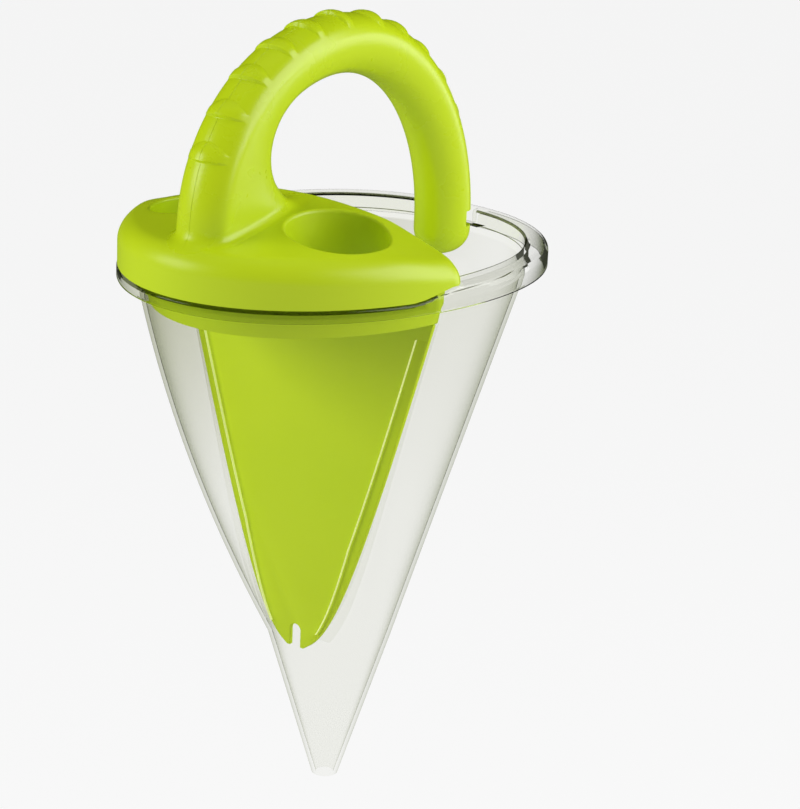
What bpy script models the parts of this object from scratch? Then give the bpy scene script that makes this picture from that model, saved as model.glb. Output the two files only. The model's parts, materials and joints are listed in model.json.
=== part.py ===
"""Two-chamber sand funnel: clear cone, green half-lid with an arched handle, and a dividing plate.

Metres, +Z up. Lengths below are in the rim frame: its origin is on the cone's axis at the flange's
underside, +X points from the lidded water side to the open sand side. The rim frame hangs below the
world origin, which is the middle of the grip, where a hand carries the funnel.
"""
from math import asin, atan2, cos, hypot, pi, sin, sqrt

import bmesh
import bpy
from mathutils import Vector

# Flange: an oval, longer on the water side and fuller on the sand side
FLANGE_SAND = 0.0862
FLANGE_FULLNESS = 2.2
FLANGE_WATER = 0.1030
FLANGE_HALF_WIDTH = 0.0780
FLANGE_OVERHANG = 0.0080
LID_SEAT = 0.0050
LIP_HEIGHT = 0.0097
LIP_ROUND = 0.0012
LIP_STEP_RUN = 0.0032
LIP_STEP_CLEARANCE = 0.0020

# Cone: an oval mouth that narrows to a round spout, with a belly on the water side
WALL = 0.0018
SPOUT_DEPTH = 0.1600
SPOUT_RADIUS = 0.0262
OUTLET_DEPTH = 0.2270
OUTLET_RADIUS = 0.0055
BELLY = 0.0065
BELLY_START = 1.87
BELLY_FULL = 2.44

# Lid: half of a flat dome, cut off by a straight edge above the dividing plate
LID_EDGE_X = -0.0189
LID_CENTRE_X = -0.0520
LID_WALL = 0.0020
LID_RIM_HEIGHT = 0.0140
LID_CROWN = 0.0140
LID_CROWN_POWER = 1.6
LID_RISE = 0.0034
LID_EDGE_ROUND = 0.0075
LID_CORNER_BLEND = 0.0200
SKIRT_CORNER_BLEND = 0.0060
SKIRT_DEPTH = 0.0090
FILL_X = -0.0475
FILL_Y = 0.0340
FILL_RADIUS = 0.0200
COLLAR_WALL = 0.0018
COLLAR_FOOT = 0.0060

# Dividing plate and the ribs that guide it
PLATE_THICKNESS = 0.0020
PLATE_TOP = 0.0060
PLATE_FOOT_HALF_WIDTH = 0.0042
NOTCH_HALF_WIDTH = 0.0026
NOTCH_HEIGHT = 0.0100
RIB_THICKNESS = 0.0014
RIB_DEPTH = 0.0050
WATER_RIB_DROP = 0.0070
RIB_FOOT_CLEARANCE = 0.0120

# Handle: an arch along its outer spine, two quarter ellipses that meet at the crown
CROWN_X = -0.0100
CROWN_Z = 0.1010
COLUMN_INSET = 0.0092
COLUMN_SPRING = 0.0270
COLUMN_FOOT = 0.0080
FREE_LEG_SPRING = 0.0060
FREE_LEG_END = -0.0095
FREE_LEG_LEDGE = 0.0032
HANDLE_HALF_WIDTH = 0.0118
HANDLE_DEPTH = 0.0236
ROOF_DEPTH = 0.0090
FLARE_CLEARANCE = 0.0036
FLARE_FULL = 0.0167
FLARE_END = 0.1085
FLARE_POWER = 2.18
LEAN_FOOT = 0.53
LEAN_FULL = 0.0880
END_ROUND = 0.0110
PAD_COUNT = 11
PAD_HEIGHT = 0.0017
PAD_HALF_LENGTH = 0.0050
PAD_HALF_WIDTH = 0.0095
PAD_FIRST = 0.0480
PAD_PITCH = 0.0193

# Clearances
FIT_GAP = 0.0003
SKIRT_GAP = 0.0006
PLATE_GAP = 0.0004
PLATE_END_GAP = 0.0080
TONGUE_GAP = 0.0005
POCKET_GAP = 0.0006

# Mesh fineness
ANGLE_STEPS = 64
LID_STEPS = 62
CONE_RINGS = 5
ROUND_STEPS = 4
BORE_STEPS = 40
RIB_STEPS = 8
PLATE_STEPS = 14
ARCH_STEPS = 8
SPINE_STEPS = 100
HANDLE_RINGS = 36
ROOF_STEPS = 6
SIDE_STEPS = 7
END_STEPS = 6
END_LEFT = 0.02
SMOOTH_ANGLE = 0.6
STEP_WIDTH = 0.0002
HALVINGS = 40
DOME_SHARES = (0.8, 0.6, 0.4, 0.2, 0.04)
PAD_SHARES = (-1.0, -0.9, -0.55, 0.0, 0.55, 0.9, 1.0)
PAD_MARGIN = 1.3

PLATE_X = LID_EDGE_X - LID_WALL - FIT_GAP - PLATE_THICKNESS / 2
COLUMN_X = -(FLANGE_WATER - COLUMN_INSET)
POCKET_FLOOR = LID_SEAT - LIP_ROUND / 2 - FIT_GAP
SAND_RIB_TOP = -(SKIRT_DEPTH + PLATE_GAP)
WATER_RIB_TOP = SAND_RIB_TOP - WATER_RIB_DROP
RIB_FOOT = -(SPOUT_DEPTH - RIB_FOOT_CLEARANCE)
FREE_LEG_X = FLANGE_SAND - FLANGE_OVERHANG - WALL + FREE_LEG_LEDGE
FLARE_DEPTH = LID_EDGE_X - FLARE_CLEARANCE - COLUMN_X - HANDLE_DEPTH
GRIP_HEIGHT = CROWN_Z - HANDLE_DEPTH / 2


def clear_scene():
    for item in list(bpy.data.objects):
        bpy.data.objects.remove(item, do_unlink=True)


def principled(name, colour, roughness, alpha=1.0):
    """A plain plastic with its own colour and roughness."""
    material = bpy.data.materials.new(name)
    material.use_nodes = True
    shader = material.node_tree.nodes["Principled BSDF"]
    shader.inputs["Base Color"].default_value = (*colour, 1.0)
    shader.inputs["Roughness"].default_value = roughness
    shader.inputs["Metallic"].default_value = 0.0
    shader.inputs["Alpha"].default_value = alpha
    return material


def add_object(name, mesh, parent, material=None):
    item = bpy.data.objects.new(name, mesh)
    bpy.context.scene.collection.objects.link(item)
    item.parent = parent
    if material:
        mesh.materials.append(material)
        mesh.shade_smooth()
        mesh.set_sharp_from_angle(angle=SMOOTH_ANGLE)
    return item


def add_cutter(name, mesh, parent):
    """A helper solid: it shapes other pieces and is not a piece itself."""
    item = add_object(name, mesh, parent)
    item.hide_render = True
    item.display_type = "WIRE"
    return item


def add_boolean(item, other, operation):
    modifier = item.modifiers.new(other.name, "BOOLEAN")
    modifier.operation = operation
    modifier.solver = "EXACT"
    modifier.object = other


def loft_island(built, rings, tube):
    """Skins a list of closed rings. A tube joins its last ring to its first, others get end faces."""
    loops = [[built.verts.new(point) for point in ring] for ring in rings]
    pairs = list(zip(loops, loops[1:]))
    if tube:
        pairs.append((loops[-1], loops[0]))
    for lower, upper in pairs:
        for index in range(len(lower)):
            after = (index + 1) % len(lower)
            built.faces.new((lower[index], lower[after], upper[after], upper[index]))
    if not tube:
        built.faces.new(reversed(loops[0]))
        built.faces.new(loops[-1])


def loft_mesh(name, islands):
    """One mesh from several lofts, each turned so that its faces point out."""
    mesh = bpy.data.meshes.new(name)
    whole = bmesh.new()
    for rings, tube in islands:
        built = bmesh.new()
        loft_island(built, rings, tube)
        if built.calc_volume(signed=True) < 0.0:
            bmesh.ops.reverse_faces(built, faces=built.faces)
        built.to_mesh(mesh)
        whole.from_mesh(mesh)
        built.free()
    whole.to_mesh(mesh)
    whole.free()
    return mesh


def smooth_step(value):
    value = min(1.0, max(0.0, value))
    return value * value * (3.0 - 2.0 * value)


def flange_radius(angle):
    """Distance from the axis to the flange's edge: an oval with its own half length on each side."""
    across = abs(sin(angle)) / FLANGE_HALF_WIDTH
    if cos(angle) < 0.0:
        return 1.0 / hypot(cos(angle) / FLANGE_WATER, across)
    power = FLANGE_FULLNESS
    return ((cos(angle) / FLANGE_SAND) ** power + across ** power) ** (-1.0 / power)


def flange_angle(x):
    """Angle on the +Y side at which the water half of the flange's edge passes x."""
    return atan2(FLANGE_HALF_WIDTH * sqrt(1.0 - (x / FLANGE_WATER) ** 2), x)


def wall_radius(angle, z, inset=0.0, belly=BELLY):
    """Radius of the cone's outer wall, less an inset, at a height below or in the rim."""
    mouth = flange_radius(angle) - FLANGE_OVERHANG
    turned = abs(atan2(sin(angle), cos(angle)))
    if z >= 0.0:
        return mouth - inset
    if z <= -SPOUT_DEPTH:
        share = (-z - SPOUT_DEPTH) / (OUTLET_DEPTH - SPOUT_DEPTH)
        return SPOUT_RADIUS + (OUTLET_RADIUS - SPOUT_RADIUS) * share - inset
    share = -z / SPOUT_DEPTH
    side = smooth_step((turned - BELLY_START) / (BELLY_FULL - BELLY_START))
    bulge = belly * side * 4.0 * share * (1.0 - share)
    return mouth + (SPOUT_RADIUS - mouth) * share + bulge - inset


def wall_half_width(x, z, inset, belly=BELLY):
    """Half width in Y of the cone at a plane of constant x, found by halving the angle."""
    low = pi / 2
    high = pi
    if wall_radius(pi, z, inset, belly) <= -x:
        return 0.0
    for _ in range(HALVINGS):
        middle = (low + high) / 2
        if wall_radius(middle, z, inset, belly) * cos(middle) > x:
            low = middle
        else:
            high = middle
    return wall_radius(low, z, inset, belly) * sin(low)


def plate_half_width(z):
    """Half width of the plate: the cone's inside without its belly, less a gap."""
    return wall_half_width(PLATE_X - PLATE_THICKNESS / 2, z, WALL + PLATE_GAP, 0.0)


def plate_foot():
    """Height at which the plate has narrowed to the half width of its foot."""
    low = -OUTLET_DEPTH
    high = 0.0
    for _ in range(HALVINGS):
        middle = (low + high) / 2
        if plate_half_width(middle) > PLATE_FOOT_HALF_WIDTH:
            high = middle
        else:
            low = middle
    return high


def lip_top(angle):
    """Height of the rim's top: low under the lid, high elsewhere."""
    edge_x = flange_radius(angle) * cos(angle)
    rise = smooth_step((edge_x - LID_EDGE_X - LIP_STEP_CLEARANCE) / LIP_STEP_RUN)
    return LID_SEAT + (LIP_HEIGHT - LID_SEAT) * rise


def pocket_half_width():
    """Half width of the pocket in the rim, from the roof of the handle where it crosses the rim's inside."""
    share = 1.0 - FREE_LEG_LEDGE / ROOF_DEPTH
    return HANDLE_HALF_WIDTH * sqrt(1.0 - share * share) + FIT_GAP / 2 + POCKET_GAP


def pocket_angle(half_width):
    """Angle at which the rim's inside is this far from the symmetry plane."""
    return asin(half_width / (FLANGE_SAND - FLANGE_OVERHANG - WALL))


def near_pocket(angle, half_width):
    return abs(atan2(sin(angle), cos(angle))) < pocket_angle(half_width)


def pocket_depth(angle):
    """How far the rim's inside is cut back for the handle's free end."""
    return FREE_LEG_LEDGE + POCKET_GAP if near_pocket(angle, pocket_half_width()) else 0.0


def channel_top(angle):
    """Height of the ceiling of the channel under the rim, lower round the pocket."""
    top = POCKET_FLOOR if near_pocket(angle, pocket_half_width() + WALL) else lip_top(angle)
    return top - WALL


def rim_angles():
    """Even steps round the rim, with close pairs where its top steps up or down."""
    angles = [2 * pi * step / ANGLE_STEPS for step in range(ANGLE_STEPS)]
    sharp = STEP_WIDTH / FLANGE_SAND
    extra = []
    for step in (pocket_angle(pocket_half_width()), pocket_angle(pocket_half_width() + WALL)):
        extra += [step - sharp, step + sharp]
    for part in range(4):
        extra.append(flange_angle(LID_EDGE_X + LIP_STEP_CLEARANCE + LIP_STEP_RUN * part / 3))
    for angle in extra:
        angles += [angle, 2 * pi - angle]
    angles.sort()
    kept = [angles[0]]
    for angle in angles[1:]:
        if angle - kept[-1] > sharp:
            kept.append(angle)
    return kept


def ring_at(angles, radius, height):
    """One closed ring: radius and height are functions of the angle."""
    return [(radius(a) * cos(a), radius(a) * sin(a), height(a)) for a in angles]


def cone_heights():
    """Heights of the wall's rings, from the outlet up to the flange's underside."""
    belly = [-SPOUT_DEPTH * (1.0 - step / CONE_RINGS) for step in range(CONE_RINGS + 1)]
    return [-OUTLET_DEPTH] + belly


def funnel_mesh():
    """The clear cone as one closed skin: up the outside, round the lip and down the inside."""
    angles = rim_angles()
    rings = [ring_at(angles, lambda a, z=z: wall_radius(a, z), lambda a, z=z: z) for z in cone_heights()]
    inside = FLANGE_OVERHANG + WALL
    lip = (
        (lambda a: FLANGE_OVERHANG, channel_top),
        (lambda a: WALL, channel_top),
        (lambda a: WALL, lambda a: 0.0),
        (lambda a: 0.0, lambda a: 0.0),
        (lambda a: 0.0, lambda a: lip_top(a) - LIP_ROUND),
        (lambda a: LIP_ROUND * 0.3, lambda a: lip_top(a) - LIP_ROUND * 0.3),
        (lambda a: LIP_ROUND, lip_top),
        (lambda a: inside - pocket_depth(a) - LIP_ROUND / 2, lip_top),
        (lambda a: inside - pocket_depth(a), lambda a: lip_top(a) - LIP_ROUND / 2),
        (lambda a: inside - pocket_depth(a), lambda a: POCKET_FLOOR),
        (lambda a: inside, lambda a: POCKET_FLOOR),
    )
    for inset, height in lip:
        rings.append(ring_at(angles, lambda a, inset=inset: flange_radius(a) - inset(a), height))
    for z in reversed(cone_heights()):
        rings.append(ring_at(angles, lambda a, z=z: wall_radius(a, z, WALL), lambda a, z=z: z))
    return loft_mesh("funnel", [(rings, True)])


def rib_rings(x_low, x_high, top, side):
    """A strip along the cone's inner wall, rooted in the wall, on one side of the plate."""
    rings = []
    for step in range(RIB_STEPS + 1):
        z = top + (RIB_FOOT - top) * step / RIB_STEPS
        root_low = wall_half_width(x_low, z, WALL / 2)
        root_high = wall_half_width(x_high, z, WALL / 2)
        tip = plate_half_width(z) - RIB_DEPTH
        corners = ((x_low, root_low), (x_high, root_high), (x_high, tip), (x_low, tip))
        rings.append([(x, side * y, z) for x, y in corners])
    return rings


def rib_mesh():
    inner = PLATE_THICKNESS / 2 + PLATE_GAP
    outer = inner + RIB_THICKNESS
    islands = []
    for side in (-1, 1):
        islands.append((rib_rings(PLATE_X - outer, PLATE_X - inner, WATER_RIB_TOP, side), False))
        islands.append((rib_rings(PLATE_X + inner, PLATE_X + outer, SAND_RIB_TOP, side), False))
    return loft_mesh("guide_ribs", islands)


def lid_reach(angle, length, half_width, edge_x, blend=LID_CORNER_BLEND):
    """Distance from the lid's centre to its outline: an oval cut by a straight edge, corners blended."""
    c, s = cos(angle), sin(angle)
    square = (c / length) ** 2 + (s / half_width) ** 2
    cross = LID_CENTRE_X * c / length ** 2
    rest = (LID_CENTRE_X / length) ** 2 - 1.0
    oval = (-cross + sqrt(cross * cross - square * rest)) / square
    if c <= 1e-6:
        return oval
    straight = (edge_x - LID_CENTRE_X) / c
    mix = min(1.0, max(0.0, 0.5 + 0.5 * (oval - straight) / blend))
    return oval + (straight - oval) * mix - blend * mix * (1.0 - mix)


def lid_height(x, y, from_edge, edge_round):
    """Height of the dome's outer face, rounded over where it nears the lid's outline."""
    share = min(1.0, hypot(x / FLANGE_WATER, y / FLANGE_HALF_WIDTH))
    dome = LID_SEAT + FIT_GAP + LID_RIM_HEIGHT + LID_CROWN * (1.0 - share ** LID_CROWN_POWER)
    dome += LID_RISE * max(0.0, (LID_EDGE_X - x) / (LID_EDGE_X + FLANGE_WATER))
    if from_edge >= edge_round:
        return dome
    return dome - edge_round + sqrt(edge_round ** 2 - (edge_round - from_edge) ** 2)


def dome_rings(length, half_width, edge_x, lower_by, edge_round):
    """Rings of a dome from its outline to near its centre, under the lid's outer face by lower_by."""
    angles = [2 * pi * step / LID_STEPS for step in range(LID_STEPS)]
    rounds = [edge_round * (1.0 - cos(pi / 2 * step / ROUND_STEPS)) for step in range(ROUND_STEPS + 1)]
    rings = []
    for depth in rounds:
        ring = []
        for angle in angles:
            reach = lid_reach(angle, length, half_width, edge_x) - depth
            x = LID_CENTRE_X + reach * cos(angle)
            y = reach * sin(angle)
            ring.append((x, y, lid_height(x, y, depth, edge_round) - lower_by))
        rings.append(ring)
    for share in DOME_SHARES:
        ring = []
        for angle in angles:
            reach = (lid_reach(angle, length, half_width, edge_x) - edge_round) * share
            x = LID_CENTRE_X + reach * cos(angle)
            y = reach * sin(angle)
            ring.append((x, y, lid_height(x, y, edge_round, edge_round) - lower_by))
        rings.append(ring)
    return rings


def outline_ring(length, half_width, edge_x, z, blend=LID_CORNER_BLEND):
    """The lid's outline as a flat ring."""
    ring = []
    for step in range(LID_STEPS):
        angle = 2 * pi * step / LID_STEPS
        reach = lid_reach(angle, length, half_width, edge_x, blend)
        ring.append((LID_CENTRE_X + reach * cos(angle), reach * sin(angle), z))
    return ring


def skirt_size(z, inset):
    """Half length and half width of the plug skirt inside the cone at a height."""
    return wall_radius(pi, z, WALL + inset), wall_radius(pi / 2, z, WALL + inset)


def skirt_ring(size_z, inset, edge_x, z):
    """The plug skirt's outline as a flat ring, with tighter corners than the lid's."""
    return outline_ring(*skirt_size(size_z, inset), edge_x, z, SKIRT_CORNER_BLEND)


def lid_mesh():
    """The lid as a solid: dome, brim on the flange and plug skirt, before it is hollowed."""
    brim_length = FLANGE_WATER - FIT_GAP
    brim_width = FLANGE_HALF_WIDTH - FIT_GAP
    seat = LID_SEAT + FIT_GAP
    rings = [skirt_ring(-SKIRT_DEPTH, SKIRT_GAP, LID_EDGE_X, -SKIRT_DEPTH)]
    rings.append(skirt_ring(0.0, SKIRT_GAP, LID_EDGE_X, 0.0))
    rings.append(skirt_ring(0.0, SKIRT_GAP, LID_EDGE_X, seat))
    rings.append(outline_ring(brim_length, brim_width, LID_EDGE_X, seat))
    rings += dome_rings(brim_length, brim_width, LID_EDGE_X, 0.0, LID_EDGE_ROUND)
    return loft_mesh("lid", [(rings, False)])


def lid_cavity_mesh():
    """The hollow under the lid, open downwards."""
    inset = SKIRT_GAP + LID_WALL
    edge_x = LID_EDGE_X - LID_WALL
    below = -SKIRT_DEPTH - LID_WALL
    floor = LID_SEAT + FIT_GAP + LID_WALL
    length = FLANGE_WATER - FIT_GAP - LID_WALL
    half_width = FLANGE_HALF_WIDTH - FIT_GAP - LID_WALL
    rings = [skirt_ring(below, inset, edge_x, below)]
    rings.append(skirt_ring(0.0, inset, edge_x, 0.0))
    rings.append(skirt_ring(0.0, inset, edge_x, floor))
    rings.append(outline_ring(length, half_width, edge_x, floor))
    rings += dome_rings(length, half_width, edge_x, LID_WALL, LID_EDGE_ROUND - LID_WALL)
    return loft_mesh("lid_cavity", [(rings, False)])


def lid_clearance_mesh():
    """The lid's outer form grown by the fit gap, which trims the handle's foot."""
    length = FLANGE_WATER
    half_width = FLANGE_HALF_WIDTH
    rings = [outline_ring(length, half_width, LID_EDGE_X + FIT_GAP, -SKIRT_DEPTH)]
    rings += dome_rings(length, half_width, LID_EDGE_X + FIT_GAP, -FIT_GAP, LID_EDGE_ROUND)
    return loft_mesh("lid_clearance", [(rings, False)])


def cylinder_mesh(name, radius, low, high):
    """Two upright cylinders, one at each fill opening."""
    islands = []
    for side in (-1, 1):
        rings = []
        for z in (low, high):
            turns = [2 * pi * step / BORE_STEPS for step in range(BORE_STEPS)]
            rings.append([(FILL_X + radius * cos(t), side * FILL_Y + radius * sin(t), z) for t in turns])
        islands.append((rings, False))
    return loft_mesh(name, islands)


def rim_clearance_mesh():
    """The space of the cone's wall and rim, which trims the handle's free end to a ledge and a tongue."""
    angles = [2 * pi * step / ANGLE_STEPS for step in range(ANGLE_STEPS)]
    far = FLANGE_WATER
    low = FREE_LEG_END - END_ROUND
    rings = []
    for z in (low, 0.0, LID_SEAT + FIT_GAP):
        rings.append(ring_at(angles, lambda a, z=z: wall_radius(a, z, WALL + TONGUE_GAP), lambda a, z=z: z))
    for z in (LID_SEAT + FIT_GAP, low):
        rings.append(ring_at(angles, lambda a: wall_radius(a, 0.0) + far, lambda a, z=z: z))
    return loft_mesh("rim_clearance", [(rings, True)])


def tongue_half_width():
    """Half width of the plate's top, which stands behind the straight wall inside the lid."""
    length, half_width = skirt_size(-SKIRT_DEPTH, SKIRT_GAP + LID_WALL)
    low = 0.0
    high = pi / 2
    for _ in range(HALVINGS):
        middle = (low + high) / 2
        reach = lid_reach(middle, length, half_width, LID_EDGE_X - LID_WALL, SKIRT_CORNER_BLEND)
        if LID_CENTRE_X + reach * cos(middle) > PLATE_X + PLATE_THICKNESS / 2:
            low = middle
            corner = reach * sin(middle)
        else:
            high = middle
    return corner - PLATE_END_GAP


def plate_mesh():
    """The dividing plate: a V that follows the cone's inside, with an arch for water at its foot."""
    shoulder = -SKIRT_DEPTH - PLATE_GAP
    foot = plate_foot()
    edge = [(tongue_half_width(), PLATE_TOP), (tongue_half_width(), shoulder)]
    for step in range(PLATE_STEPS + 1):
        z = shoulder + (foot - shoulder) * sin(pi / 2 * step / PLATE_STEPS)
        edge.append((plate_half_width(z), z))
    arch_z = foot + NOTCH_HEIGHT - NOTCH_HALF_WIDTH
    arch = [(NOTCH_HALF_WIDTH, foot)]
    for step in range(ARCH_STEPS + 1):
        turn = pi * step / ARCH_STEPS
        arch.append((NOTCH_HALF_WIDTH * cos(turn), arch_z + NOTCH_HALF_WIDTH * sin(turn)))
    arch.append((-NOTCH_HALF_WIDTH, foot))
    outline = edge + arch + [(-y, z) for y, z in reversed(edge)]
    rings = []
    for x in (PLATE_X - PLATE_THICKNESS / 2, PLATE_X + PLATE_THICKNESS / 2):
        rings.append([(x, y, z) for y, z in outline])
    return loft_mesh("divider", [(rings, False)])


def spine_samples():
    """Fine points along the handle's outer spine, from the foot on the lid to the free end."""
    points = []
    for step in range(SPINE_STEPS):
        points.append((COLUMN_X, COLUMN_FOOT + (COLUMN_SPRING - COLUMN_FOOT) * step / SPINE_STEPS))
    for step in range(SPINE_STEPS):
        turn = pi / 2 * step / SPINE_STEPS
        points.append((CROWN_X + (COLUMN_X - CROWN_X) * cos(turn),
                       COLUMN_SPRING + (CROWN_Z - COLUMN_SPRING) * sin(turn)))
    for step in range(SPINE_STEPS):
        turn = pi / 2 * step / SPINE_STEPS
        points.append((CROWN_X + (FREE_LEG_X - CROWN_X) * sin(turn),
                       FREE_LEG_SPRING + (CROWN_Z - FREE_LEG_SPRING) * cos(turn)))
    for step in range(SPINE_STEPS + 1):
        points.append((FREE_LEG_X, FREE_LEG_SPRING + (FREE_LEG_END - FREE_LEG_SPRING) * step / SPINE_STEPS))
    return points


def walk_spine(samples):
    """Distance along the spine at each sample."""
    travelled = [0.0]
    for before, after in zip(samples, samples[1:]):
        travelled.append(travelled[-1] + hypot(after[0] - before[0], after[1] - before[1]))
    return travelled


def spine_at(samples, travelled, distance):
    """Point on the spine and the unit direction across it, towards the inside of the arch."""
    index = 1
    while index < len(travelled) - 1 and travelled[index] < distance:
        index += 1
    before = samples[index - 1]
    after = samples[index]
    share = (distance - travelled[index - 1]) / (travelled[index] - travelled[index - 1])
    point = Vector((before[0] + (after[0] - before[0]) * share, before[1] + (after[1] - before[1]) * share))
    along = Vector((after[0] - before[0], after[1] - before[1])).normalized()
    return point, Vector((along.y, -along.x))


def pad_distances():
    return [PAD_FIRST + PAD_PITCH * number for number in range(PAD_COUNT)]


def pad_rise(distance, across):
    """How far a grip pad, a lens with pointed ends, lifts the handle's roof at a place on it."""
    narrowing = 1.0 - (across / PAD_HALF_WIDTH) ** 2
    if narrowing <= 0.0:
        return 0.0
    for pad in pad_distances():
        left = 1.0 - ((distance - pad) / (PAD_HALF_LENGTH * narrowing)) ** 2
        if left > 0.0:
            return PAD_HEIGHT * sqrt(left * narrowing)
    return 0.0


def half_section(depth):
    """The handle's section from the spine to its inner edge, as (distance in, half width) pairs.

    Two half ellipses meet where the handle is widest: a short one for the roof, a long one for the side.
    """
    points = []
    for step in range(1, ROOF_STEPS + 1):
        turn = pi / 2 * step / ROOF_STEPS
        points.append((ROOF_DEPTH * (1.0 - cos(turn)), HANDLE_HALF_WIDTH * sin(turn)))
    for step in range(1, SIDE_STEPS):
        turn = pi / 2 * step / SIDE_STEPS
        points.append((ROOF_DEPTH + (depth - ROOF_DEPTH) * sin(turn), HANDLE_HALF_WIDTH * cos(turn)))
    return points


def section_ring(samples, travelled, distance, total, side):
    """One ring of a half shell: roof with grip pads, side, rounded inner edge, flat seam."""
    point, inward = spine_at(samples, travelled, distance)
    lean = atan2(inward.y, inward.x) * (LEAN_FOOT + (1.0 - LEAN_FOOT) * min(1.0, distance / LEAN_FULL))
    inward = Vector((cos(lean), sin(lean)))
    flare = min(1.0, max(0.0, (FLARE_END - distance) / (FLARE_END - FLARE_FULL)))
    depth = HANDLE_DEPTH + FLARE_DEPTH * flare ** FLARE_POWER
    left = total - distance
    shrink = 1.0
    if left < END_ROUND:
        shrink = sqrt(max(END_LEFT, 1.0 - (1.0 - left / END_ROUND) ** 2))
    ring = []
    for into, across in [(0.0, 0.0)] + half_section(depth) + [(depth, 0.0)]:
        lift = pad_rise(distance, across) if into < ROOF_DEPTH else 0.0
        into = depth / 2 + (into - depth / 2) * shrink - lift
        place = point + inward * into
        ring.append((place.x, side * (across * shrink + FIT_GAP / 2), place.y))
    return ring


def handle_mesh(name, side):
    """One half shell of the handle as a skin along the spine, before its foot and free end are cut."""
    samples = spine_samples()
    travelled = walk_spine(samples)
    total = travelled[-1]
    stations = [total * step / HANDLE_RINGS for step in range(HANDLE_RINGS + 1)]
    for pad in pad_distances():
        stations = [s for s in stations if abs(s - pad) > PAD_HALF_LENGTH * PAD_MARGIN]
        stations += [pad + PAD_HALF_LENGTH * share for share in PAD_SHARES]
    stations = [s for s in stations if s < total - END_ROUND]
    for step in range(END_STEPS + 1):
        stations.append(total - END_ROUND * (1.0 - sin(pi / 2 * step / END_STEPS)))
    stations.sort()
    rings = [section_ring(samples, travelled, distance, total, side) for distance in stations]
    return loft_mesh(name, [(rings, False)])


def build():
    clear_scene()
    rim_frame = bpy.data.objects.new("rim_frame", None)
    bpy.context.scene.collection.objects.link(rim_frame)
    rim_frame.location = (-CROWN_X, 0.0, -GRIP_HEIGHT)
    insert_frame = bpy.data.objects.new("insert_frame", None)
    bpy.context.scene.collection.objects.link(insert_frame)
    insert_frame.parent = rim_frame

    clear_plastic = principled("clear_plastic", (0.86, 0.88, 0.84), 0.05, 0.3)
    lid_green = principled("lid_green", (0.45, 0.60, 0.008), 0.28)
    handle_green = principled("handle_green", (0.45, 0.60, 0.008), 0.26)
    plate_green = principled("plate_green", (0.44, 0.60, 0.008), 0.35)

    funnel = add_object("funnel", funnel_mesh(), rim_frame, clear_plastic)
    add_boolean(funnel, add_cutter("guide_ribs", rib_mesh(), rim_frame), "UNION")

    cavity = add_cutter("lid_cavity", lid_cavity_mesh(), insert_frame)
    tall = LID_SEAT + LID_RIM_HEIGHT + LID_CROWN + LID_RISE + LID_WALL
    collars = cylinder_mesh("fill_collars", FILL_RADIUS + COLLAR_WALL, COLLAR_FOOT, tall)
    add_boolean(cavity, add_cutter("fill_collars", collars, insert_frame), "DIFFERENCE")
    lid = add_object("lid", lid_mesh(), insert_frame, lid_green)
    add_boolean(lid, cavity, "DIFFERENCE")
    bores = cylinder_mesh("fill_bores", FILL_RADIUS, COLLAR_FOOT - LID_WALL, tall)
    add_boolean(lid, add_cutter("fill_bores", bores, insert_frame), "DIFFERENCE")

    lid_clearance = add_cutter("lid_clearance", lid_clearance_mesh(), insert_frame)
    rim_clearance = add_cutter("rim_clearance", rim_clearance_mesh(), insert_frame)
    for name, side in (("handle_front", -1), ("handle_rear", 1)):
        shell = add_object(name, handle_mesh(name, side), insert_frame, handle_green)
        add_boolean(shell, lid_clearance, "DIFFERENCE")
        add_boolean(shell, rim_clearance, "DIFFERENCE")

    add_object("divider", plate_mesh(), insert_frame, plate_green)


build()
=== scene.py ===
# %% [markdown]
# # A two-chamber sand funnel
# A clear oval cone hangs under a lime green insert. The insert is a domed half lid with two fill openings,
# an arched carrying handle with grip pads, and a plate that keeps water and sand apart down to the spout.
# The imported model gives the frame: every piece here is built in metres in that same frame, replaces one
# of its nodes and moves with that node's body.

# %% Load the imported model
import json
from math import asin, atan2, cos, hypot, pi, radians, sin, sqrt

import bmesh
import bpy
from mathutils import Matrix, Vector


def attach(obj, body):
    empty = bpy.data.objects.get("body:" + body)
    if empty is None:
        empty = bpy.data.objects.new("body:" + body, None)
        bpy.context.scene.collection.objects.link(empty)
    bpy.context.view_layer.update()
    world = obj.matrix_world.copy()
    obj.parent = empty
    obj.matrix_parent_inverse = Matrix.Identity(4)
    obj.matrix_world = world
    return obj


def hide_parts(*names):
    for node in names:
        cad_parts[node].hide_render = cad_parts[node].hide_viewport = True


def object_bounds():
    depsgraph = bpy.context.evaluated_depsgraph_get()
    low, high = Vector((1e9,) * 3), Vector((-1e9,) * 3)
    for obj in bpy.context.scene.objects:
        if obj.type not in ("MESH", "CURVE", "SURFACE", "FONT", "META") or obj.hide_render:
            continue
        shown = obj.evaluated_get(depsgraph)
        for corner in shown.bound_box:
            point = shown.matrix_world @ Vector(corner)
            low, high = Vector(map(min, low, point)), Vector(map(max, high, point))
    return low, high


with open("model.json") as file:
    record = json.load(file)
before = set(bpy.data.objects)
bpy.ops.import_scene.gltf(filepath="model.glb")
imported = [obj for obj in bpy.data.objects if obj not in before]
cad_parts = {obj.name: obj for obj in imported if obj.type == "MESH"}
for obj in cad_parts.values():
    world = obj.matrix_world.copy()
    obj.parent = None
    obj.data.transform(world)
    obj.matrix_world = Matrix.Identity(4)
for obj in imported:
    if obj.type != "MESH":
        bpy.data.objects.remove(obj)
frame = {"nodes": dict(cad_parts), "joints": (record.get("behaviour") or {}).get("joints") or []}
cad_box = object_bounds()
print("CAD nodes:", sorted(frame["nodes"]))
print("CAD box:", cad_box)

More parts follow.
